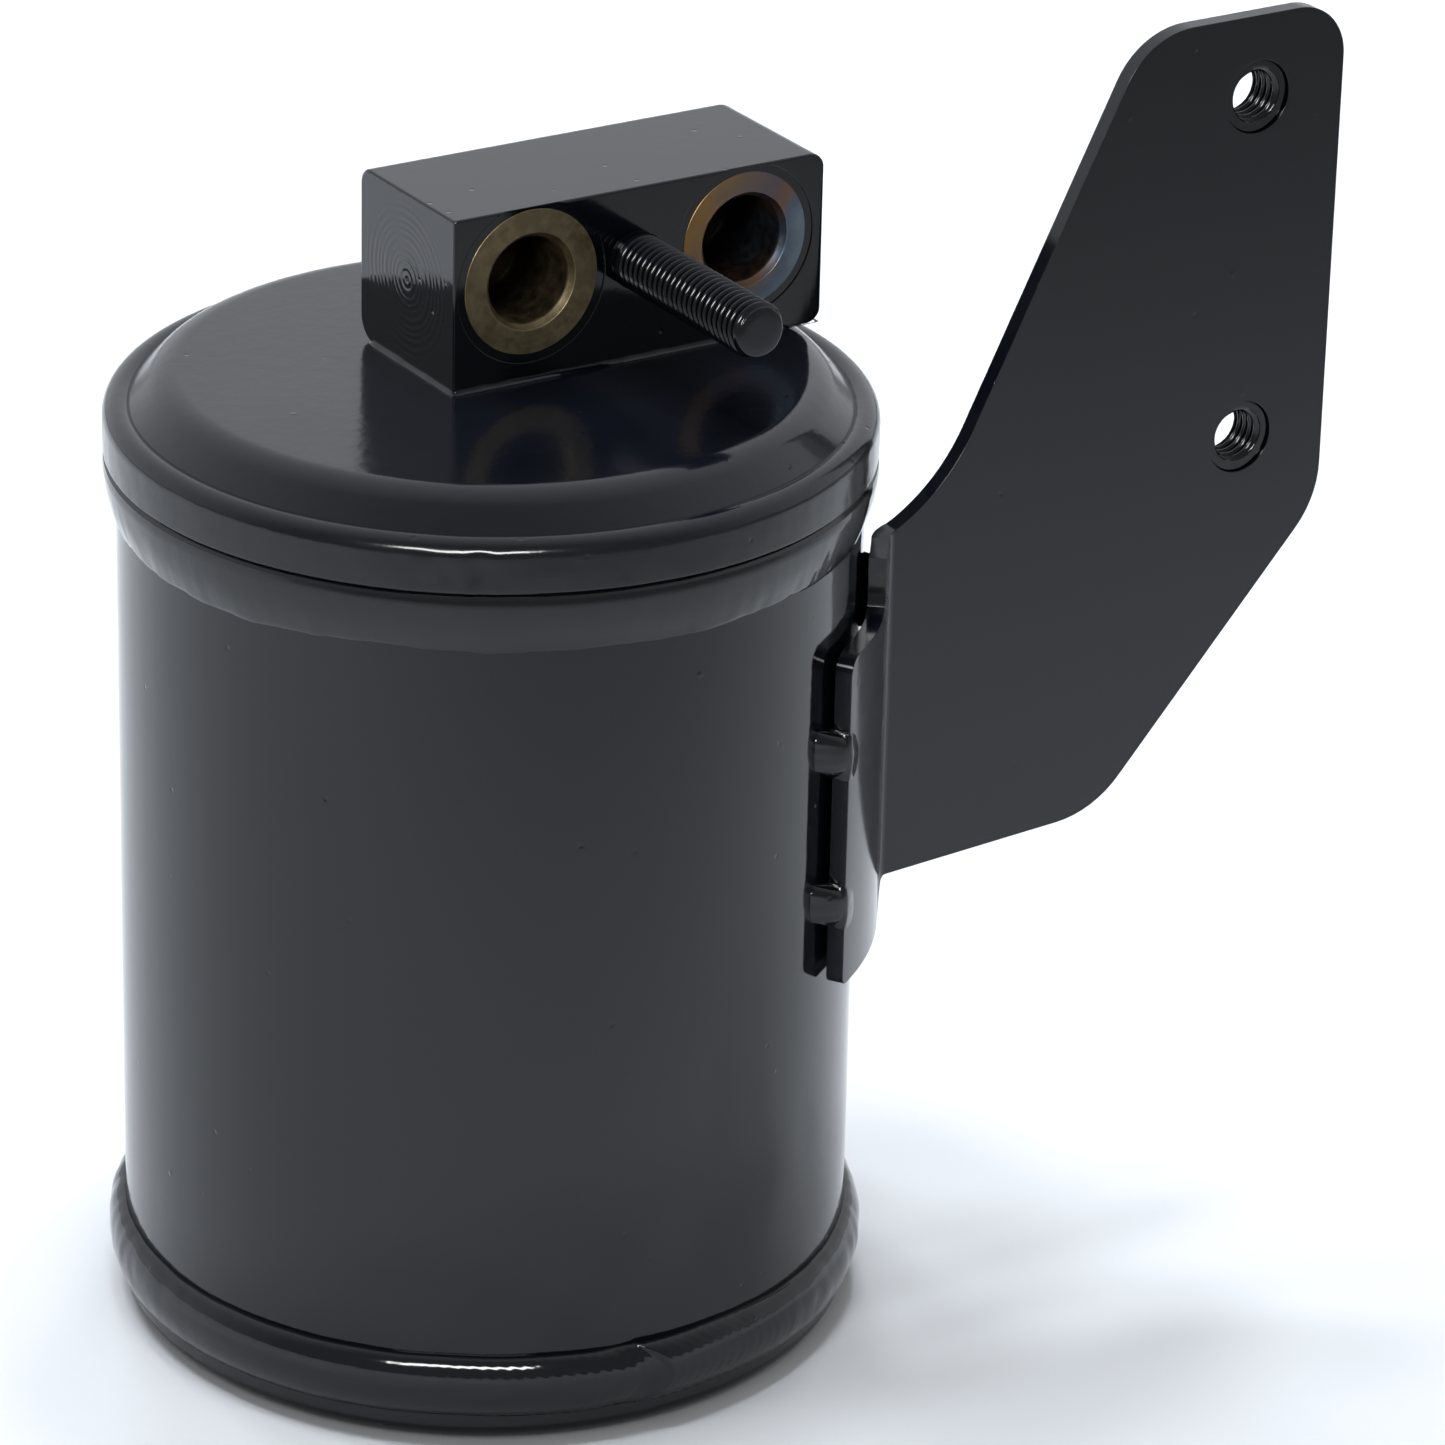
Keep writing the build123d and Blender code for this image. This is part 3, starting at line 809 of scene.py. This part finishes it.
def ring_round_y(x, y, z, segments, radius_of):
    """Points round an axis along Y; radius_of gives the radius in each direction."""
    angles = [TURN * j / segments for j in range(segments)]
    return [(x + radius_of(a) * math.cos(a), y, z + radius_of(a) * math.sin(a)) for a in angles]


def make_stud():
    """M8 stud: short plain collar at the block, full thread, chamfered end."""
    segments = 80
    buried, depth = 5.0, 0.72
    chamfer, chamfer_slope = 0.75, 0.75
    length = block_low.y - stud_low.y
    count = round((length + buried) / (PITCH / 18))
    verts = []

    def thread_radius(angle, out):
        """Radius in this direction at this distance out of the block."""
        collar = smoothstep(0.5, 1.7, out)
        groove = thread_depth(out / PITCH - angle / TURN, depth) * collar
        worn = 0.03 * noise.noise(Vector((out * 0.9, angle * 2.0, 4.0))) * collar
        limit = stud_radius - max(0.0, out - (length - chamfer)) * chamfer_slope
        return min(stud_radius - groove + worn - 0.02, limit)

    for i in range(count + 1):
        out = -buried + (length + buried) * i / count
        verts += ring_round_y(stud_x, block_low.y - out, port_z, segments, lambda a: thread_radius(a, out))
    tip_radius = stud_radius - chamfer * chamfer_slope
    for share, dome in ((0.93, 0.05), (0.6, 0.08), (0.2, 0.09)):
        verts += ring_round_y(stud_x, stud_low.y - dome, port_z, segments, lambda a: tip_radius * share)
    rings = count + 4
    faces = grid_faces(rings, segments)
    faces.append(tuple((rings - 1) * segments + j for j in range(segments)))
    faces.append(tuple(range(segments)))
    piece("threaded_stud", verts, faces, bracket_paint, "mounting_stud", 75.0)


def make_nut(name, node, low, high):
    """Weld nut: chamfered hexagon behind the flange, round pilot in the plate, threaded bore."""
    segments = 96
    center_x, center_z = (low.x + high.x) / 2, (low.z + high.z) / 2
    pilot_radius, minor, major = 5.2, 3.4, 4.05
    countersink = major + 0.35
    front_y, back_y = low.y, high.y
    half_across = (high.z - low.z) / 2
    depth = major - minor
    verts = []

    def hexagon(angle, inset):
        sector = (angle + math.pi / 2) % (math.pi / 3) - math.pi / 6
        return min((half_across - inset) / math.cos(sector), half_across * 1.1 - inset * 1.4)

    def add_ring(y, radius_of):
        verts.extend(ring_round_y(center_x, y, center_z, segments, radius_of))

    def thread_radius(angle, y):
        lead = max(0.0, 0.5 - min(back_y - y, y - front_y)) * 0.8
        return minor + max(depth - thread_depth(y / PITCH + angle / TURN, depth), lead * 1.2)

    add_ring(front_y, lambda a: countersink)
    add_ring(front_y, lambda a: pilot_radius - 0.15)
    add_ring(front_y + 0.15, lambda a: pilot_radius)
    add_ring(flange_back_y, lambda a: pilot_radius)
    add_ring(flange_back_y, lambda a: hexagon(a, 0.25))
    add_ring(flange_back_y + 0.25, lambda a: hexagon(a, 0.0))
    add_ring(back_y - 0.9, lambda a: hexagon(a, 0.0))
    add_ring(back_y - 0.25, lambda a: hexagon(a, 0.35))
    add_ring(back_y, lambda a: min(hexagon(a, 0.8), half_across - 0.7))
    add_ring(back_y, lambda a: countersink)
    steps = round((back_y - front_y) / (PITCH / 14))
    for i in range(steps + 1):
        y = back_y - (back_y - front_y) * i / steps
        add_ring(y, lambda a: thread_radius(a, y))
    faces = grid_faces(len(verts) // segments, segments, close_rows=True)
    piece(name, verts, faces, bracket_paint, node, 40.0)


make_stud()
for side, (low, high) in zip(("lower", "upper"), nut_boxes):
    make_nut(f"nut_{side}", f"{side}_weld_nut", low, high)


# -------- bracket
saddle_inner = can_radius + 0.95
saddle_outer = saddle_inner + plate
saddle_start = -57.1
saddle_bottom, saddle_top = bracket_low.z, 104.9
bend_radius = 2.0
bend_y = flange_face_y - bend_radius
bend_x = math.sqrt((saddle_outer + bend_radius) ** 2 - bend_y**2)
bend_angle = math.degrees(math.atan2(bend_y, bend_x))
bend_turn = bend_angle + 90
saddle_length = saddle_outer * math.radians(bend_angle - saddle_start)
bend_length = (bend_radius + plate / 2) * math.radians(bend_turn)
flange_left = 41.8
edge_round = 0.4
hole_radius = 5.25


def bent_point(u, behind):
    """Point of the bent plate's front face, or its back face, in plan. u runs 0 to 1 over the saddle,
    1 to 2 round the bend, and on in millimetres along the flange."""
    thickness = plate * behind
    if u <= 1:
        return polar(saddle_outer - thickness, saddle_start + (bend_angle - saddle_start) * u)
    if u <= 2:
        angle = math.radians(bend_angle + 180 - bend_turn * (u - 1))
        radius = bend_radius + thickness
        return bend_x + radius * math.cos(angle), bend_y + radius * math.sin(angle)
    return bend_x + u - 2, flange_face_y + thickness


def u_of(x):
    """Place along the plate of a point of its front face at this x."""
    if x > bend_x:
        return x - bend_x + 2
    bend_start = saddle_outer * math.cos(math.radians(bend_angle))
    if x > bend_start:
        return 1 + (x - bend_start) / (bend_x - bend_start)
    angle = -math.degrees(math.acos(x / saddle_outer))
    return (angle - saddle_start) / (bend_angle - saddle_start)


def neck_points(neck, upper_left, tip):
    """Arc that leaves the neck along the slanted edge and ends at the tip above the notch, in (x, z)."""
    start, end = Vector(neck), Vector(tip)
    slope = Vector((neck[0] - upper_left[0], neck[1] - upper_left[1])).normalized()
    chord = end - start
    side = Vector((-slope.y, slope.x))
    radius = chord.length_squared / (2 * chord.dot(side))
    center = start + side * radius
    first = bearing(start - center)
    sweep = (bearing(end - center) - first + 180) % 360 - 180
    return arc_points(center, abs(radius), first, sweep, 14)[1:]


def saddle_corner(z, radius, start, steps):
    """Rounded corner of the saddle's free edge, in (u, z), about a centre at height z."""
    per_mm = 1 / saddle_length
    corner = arc_points((0.0, z), radius, start, 90, steps)
    return [(radius * per_mm + along * per_mm, height) for along, height in corner]


def plate_outline():
    """The plate's edge in (u, z): saddle to the left of u = 1, flange to the right of u = 2."""
    flange_right, flange_top = bracket_high.x, bracket_high.z
    upper_left = (84.7, flange_top)
    neck = (58.2, 126.7)
    tip = (flange_left, 113.0)
    foot = [(u_of(46.5), 62.9, 0)]
    flange = [
        (u_of(81.3), 64.6, 15.0),
        (u_of(flange_right), 105.3, 14.0),
        (u_of(flange_right), flange_top, 8.0),
        (u_of(upper_left[0]), flange_top, 12.0),
    ]
    outline = rounded(foot + flange + [(u_of(neck[0]), neck[1], 0)], 6.0)
    outline += [(u_of(x), z) for x, z in neck_points(neck, upper_left, tip)]
    end = u_of(flange_left)
    outline += [(end, 111.0), (end, 109.0), (end, 107.2), (end - 0.02, 106.1), (end - 0.06, 105.3)]
    outline += [(end - 0.12, saddle_top), (0.5, saddle_top), (0.35, saddle_top)]
    top_corner, low_corner = 2.6, 1.2
    outline += saddle_corner(saddle_top - top_corner, top_corner, 90, 6)
    outline += saddle_corner(saddle_bottom + low_corner, low_corner, 180, 4)
    outline += [(0.35, saddle_bottom), (0.7, saddle_bottom), (0.97, saddle_bottom)]
    outline += [(1.15, saddle_bottom + 0.5), (1.3, saddle_bottom + 1.6), (1.42, saddle_bottom + 3.6)]
    return outline + [(1.6, 62.2), (1.85, 62.8)]


def flat_place(u):
    """Millimetres along the plate laid flat, so that its edges are rounded evenly."""
    if u <= 1:
        return (u - 1) * saddle_length - bend_length
    if u <= 2:
        return (u - 2) * bend_length
    return u - 2


def u_of_flat(place):
    """The reverse of flat_place."""
    if place >= 0:
        return place + 2
    if place >= -bend_length:
        return 2 + place / bend_length
    return 1 + (place + bend_length) / saddle_length


def flat_front():
    """The plate's front face laid flat, without the bolt holes, as a mesh being worked on."""
    points = [Vector((flat_place(u), z)) for u, z in plate_outline()]
    edges = [(i, (i + 1) % len(points)) for i in range(len(points))]
    holes = [((low.x + high.x) / 2 - bend_x, (low.z + high.z) / 2) for low, high in nut_boxes]
    for hole in holes:
        first = len(points)
        ring = arc_points(hole, hole_radius, 0, 360, 96)[:-1]
        points += [Vector(point) for point in ring]
        edges += [(first + i, first + (i + 1) % len(ring)) for i in range(len(ring))]
    flat_verts, _, flat_faces, *_ = delaunay_2d_cdt(points, edges, [], 1, 1e-6)
    work = bmesh.new()
    front = [work.verts.new((v.x, 0.0, v.y)) for v in flat_verts]
    for face in flat_faces:
        corners = [flat_verts[i] for i in face]
        if not any(all((v - Vector(hole)).length < hole_radius * 1.01 for v in corners) for hole in holes):
            work.faces.new([front[i] for i in face])
    bmesh.ops.recalc_face_normals(work, faces=work.faces)
    if sum(f.normal.y for f in work.faces) > 0:
        bmesh.ops.reverse_faces(work, faces=work.faces)
    return work


def thicken(work):
    """Extrudes the front face to the plate's thickness; the copy becomes the back."""
    shell = bmesh.ops.extrude_face_region(work, geom=list(work.faces))
    for moved in shell["geom"]:
        if isinstance(moved, bmesh.types.BMVert):
            moved.co.y = plate
    bmesh.ops.recalc_face_normals(work, faces=work.faces)


def is_rim(edge):
    """True for an edge where a flat side of the plate meets its cut edge."""
    if len(edge.link_faces) != 2:
        return False
    one, other = edge.link_faces
    level = abs(edge.verts[0].co.y - edge.verts[1].co.y) < 1e-6
    return level and abs(one.normal.dot(other.normal)) < 0.2


def slice_for_bending(work):
    """Cuts the saddle and the bend across, so that they follow their curves."""
    over_saddle = np.linspace(-bend_length - saddle_length, -bend_length, 34)[1:-1]
    over_bend = np.linspace(-bend_length, 0.0, 14)
    for place in [*over_saddle, *over_bend]:
        everything = [*work.verts, *work.edges, *work.faces]
        bmesh.ops.bisect_plane(work, geom=everything, plane_co=(place, 0, 0), plane_no=(1, 0, 0), dist=1e-6)


def make_bracket():
    """Flat plate cut out, its edges rounded, then wrapped round the can and bent out to the flange."""
    work = flat_front()
    thicken(work)
    rim = [edge for edge in work.edges if is_rim(edge)]
    bmesh.ops.bevel(
        work, geom=rim, offset=edge_round, segments=3, profile=0.5, affect="EDGES", clamp_overlap=True
    )
    slice_for_bending(work)
    for vert in work.verts:
        x, y = bent_point(u_of_flat(vert.co.x), vert.co.y / plate)
        vert.co = (x, y, vert.co.z)
    mesh = bpy.data.meshes.new("bracket_plate")
    work.to_mesh(mesh)
    work.free()
    mesh.transform(Matrix.Scale(MM, 4))
    finish_piece("bracket_plate", mesh, bracket_paint, "bracket", 50.0, weighted=True)


make_bracket()


# -------- stitch welds
def closed_shell(rows, columns):
    """Faces of two matching grids, the second reversed, joined all round their border."""
    offset = rows * columns
    faces = grid_faces(rows, columns, close_columns=False)
    faces += [tuple(offset + i for i in reversed(face)) for face in faces]
    for i in range(rows - 1):
        for j in (0, columns - 1):
            a, b = i * columns + j, (i + 1) * columns + j
            faces.append((a, b, b + offset, a + offset))
    for j in range(columns - 1):
        for i in (0, rows - 1):
            a = i * columns + j
            faces.append((a, a + 1, a + 1 + offset, a + offset))
    return faces


def edge_stitch(name, low, high, seed):
    """Bead over the saddle's free edge: a ramp from the can's wall up to the plate's outer face, where
    its front swells into an arc."""
    rows, columns = 36, 34
    toe = -61.2
    rise = saddle_outer - can_radius
    verts = []
    for side in (1, 0):
        for i in range(rows + 1):
            v = -1 + 2 * i / rows
            lap = saddle_start + 3.3 * max(0.0, 1 - abs(v * 0.99 + 0.06) ** 2.4) ** 0.62
            left = toe + 1.3 * abs(v) ** 5 + 0.25 * noise.noise(Vector((v * 2.5, seed, 0.0)))
            swell = max(0.0, 1 - abs(v) ** 3.2) ** 0.5
            for j in range(columns + 1):
                t = j / columns
                angle = left + (lap - left) * t
                middle = (low + high) / 2 + 0.9 - 1.2 * t
                z = middle + v * ((high - low) / 2 - 0.75 * (1 - t))
                base = can_radius - 0.05 + rise * smoothstep(saddle_start - 0.5, saddle_start, angle)
                climb = min(1.0, (angle - left) / (saddle_start + 0.3 - left))
                ramp = can_radius + rise * (climb + 0.16 * math.sin(math.pi * climb))
                crown = 0.30 * math.sin(math.pi * t) + 0.07 * noise.noise(Vector((t * 3, z * 0.45, seed)))
                top = max(base, ramp + crown * swell)
                r = base + (top - base) * swell * side - 0.25 * (1 - side)
                verts.append((*polar(r, angle), z))
    piece(name, verts, closed_shell(rows + 1, columns + 1), weld_paint, "bracket_edge_welds", 60.0)


def rear_lines():
    """Foot and crown of a rear bead in plan: pairs of points from the can round to the bend's back."""
    start = polar(can_radius - 0.05, -27.5)
    corner = polar(can_radius - 0.2, bend_angle + 3.0)
    end = (bend_x + 3.6, flange_back_y - 0.1)
    count = 20
    for j in range(count + 1):
        t = j / count
        foot_x = (1 - t) ** 2 * start[0] + 2 * t * (1 - t) * corner[0] + t * t * end[0]
        foot_y = (1 - t) ** 2 * start[1] + 2 * t * (1 - t) * corner[1] + t * t * end[1]
        dome = 0.3 * math.sin(math.pi * t)
        crown_x = start[0] + (end[0] - start[0]) * t + dome * 0.5
        crown_y = start[1] + (end[1] - start[1]) * t + dome * 0.85
        yield t, foot_x, foot_y, crown_x, crown_y


def rear_stitch(name, low, high, seed):
    """Fillet bead in the corner between the can and the back of the bend."""
    rows = 28
    lines = list(rear_lines())
    verts = []
    for side in (1, 0):
        for i in range(rows + 1):
            v = -1 + 2 * i / rows
            swell = max(0.0, 1 - abs(v) ** 2.6) ** 0.5
            z = (low + high) / 2 + v * (high - low) / 2
            for t, foot_x, foot_y, crown_x, crown_y in lines:
                lumpy = 1 + 0.10 * noise.noise(Vector((t * 4, z * 0.5, seed)))
                grow = swell * lumpy * side
                inward = 1 - 0.25 * (1 - side) / math.hypot(foot_x, foot_y)
                x = (foot_x + (crown_x - foot_x) * grow) * inward
                y = (foot_y + (crown_y - foot_y) * grow) * inward
                verts.append((x, y, z))
    piece(name, verts, closed_shell(rows + 1, len(lines)), weld_paint, "bracket_rear_welds", 60.0)


edge_stitches = ((64.5, 71.8), (86.7, 94.6))
for index, (low, high) in enumerate(edge_stitches):
    edge_stitch(f"edge_stitch_{index + 1}", low, high, 3.0 + index)
rear_stitches = ((66.0, 76.0), (99.0, 110.0))
for index, (low, high) in enumerate(rear_stitches):
    rear_stitch(f"rear_stitch_{index + 1}", low, high, 8.0 + index)


# -------- parts sealed inside keep their CAD shape
inside = [
    (steel, ["pickup_tube", "tube_braze_ring", "strainer_screen", "inlet_deflector"]),
    (steel, ["upper_retainer_plate", "lower_support_plate", "compression_spring"]),
    (felt, ["upper_filter_pad", "lower_filter_pad"]),
    (beads, ["desiccant_bed"]),
]
for material, nodes in inside:
    for node in nodes:
        node_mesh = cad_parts[node].data
        node_mesh.materials.clear()
        node_mesh.materials.append(material)


# -------- camera
def make_camera():
    """Long lens, to the left of the block's front face and above it, turned slightly about its axis."""
    azimuth, elevation, roll = math.radians(-32.48), math.radians(24.09), math.radians(1.34)
    place = Vector((-446.1, -760.6, 479.2)) * MM
    flat = math.cos(elevation)
    back = Vector((math.sin(azimuth) * flat, -math.cos(azimuth) * flat, math.sin(elevation)))
    level = Vector((math.cos(azimuth), math.sin(azimuth), 0.0))
    upright = back.cross(level)
    right = level * math.cos(roll) + upright * math.sin(roll)
    up = upright * math.cos(roll) - level * math.sin(roll)
    data = bpy.data.cameras.new("camera")
    data.lens = 174.68
    data.sensor_width = 36.0
    data.clip_start = 0.05
    camera = show("camera", data)
    camera.matrix_world = Matrix.Translation(place) @ Matrix((right, up, back)).transposed().to_4x4()
    bpy.context.scene.camera = camera


make_camera()


# -------- floor and light
# near the top of the can: what the overhead light and the strip are aimed at
AIM = (0, 0, 0.13)


def make_floor():
    """Plain pale ground."""
    material, shader = new_material("pale_floor")
    n = Nodes(material)
    n.link(n.ramp(n.noise(3.0, 2.0), [(0.3, 0.86), (0.7, 0.88)]), shader.inputs["Base Color"])
    shader.inputs["Roughness"].default_value = 0.9
    shader.inputs["Specular IOR Level"].default_value = 0.0
    size = 6.0
    corners = [(-size, -size, 0), (size, -size, 0), (size, size, 0), (-size, size, 0)]
    mesh = bpy.data.meshes.new("floor")
    mesh.from_pydata(corners, [], [(0, 1, 2, 3)])
    mesh.materials.append(material)
    show("floor", mesh)


def add_light(name, kind, place, aim, power, **settings):
    data = bpy.data.lights.new(name, kind)
    data.energy = power
    for key, value in settings.items():
        setattr(data, key, value)
    light = show(name, data)
    light.location = place
    light.rotation_euler = (Vector(aim) - Vector(place)).to_track_quat("-Z", "Y").to_euler()
    return light


def toward(azimuth, elevation, distance):
    """Point this far from AIM; azimuth 0 is the camera's own, and grows to its right."""
    turn = math.radians(CAMERA_SIDE + azimuth)
    flat = math.cos(math.radians(elevation))
    return (
        flat * math.cos(turn) * distance,
        flat * math.sin(turn) * distance,
        math.sin(math.radians(elevation)) * distance + AIM[2],
    )


def make_world():
    """Seen only in reflections: pale overhead and behind the object, dimmer on the camera's side."""
    world = bpy.data.worlds.new("studio")
    bpy.context.scene.world = world
    world.use_nodes = True
    world.cycles_visibility.diffuse = False
    n = Nodes(world, "Generated")
    share = n.share(n.dot(n.position, (0.537, 0.844, 0.0)), -0.6, 0.6)
    levels = ((0.08, 0.32), (0.5, 0.74), (0.84, 0.93))
    stops = [(place, (level * 0.97, level, level * 1.04)) for place, level in levels]
    n.link(n.ramp(share, stops), world.node_tree.nodes["Background"].inputs["Color"])


def make_overhead():
    """A very broad soft light from above."""
    broad = add_light("overhead", "SUN", (-0.3, -0.2, 3.0), AIM, 1.3, angle=math.radians(150))
    broad.data.color = (0.97, 1.0, 1.03)
    broad.visible_glossy = False


def make_pool():
    """A ring of spots that keeps the floor bright round the object, and leaves it dim nearer the camera."""
    middle = Vector((-0.05, 0.75, 0.0))
    ring_radius, height, count = 0.85, 3.0, 8
    look = {"spot_size": math.radians(40.0), "spot_blend": 0.12, "shadow_soft_size": 0.2}
    for i in range(count):
        turn = TURN * i / count
        place = middle + Vector((ring_radius * math.cos(turn), ring_radius * math.sin(turn), height))
        spot = add_light(f"pool_{i + 1}", "SPOT", place, middle, 52.0, **look)
        spot.data.color = (0.94, 1.0, 1.09)
        spot.visible_glossy = False


def make_strip():
    """A narrow strip above the camera, for the bright lines on the rim and the beads."""
    look = {"shape": "RECTANGLE", "size": 1.05, "size_y": 0.26}
    strip = add_light("strip", "AREA", toward(-5, 28, 1.6), AIM, 26.0, **look)
    strip.visible_diffuse = False


make_floor()
make_world()
make_overhead()
make_pool()
make_strip()
bpy.context.scene.view_settings.view_transform = "Standard"
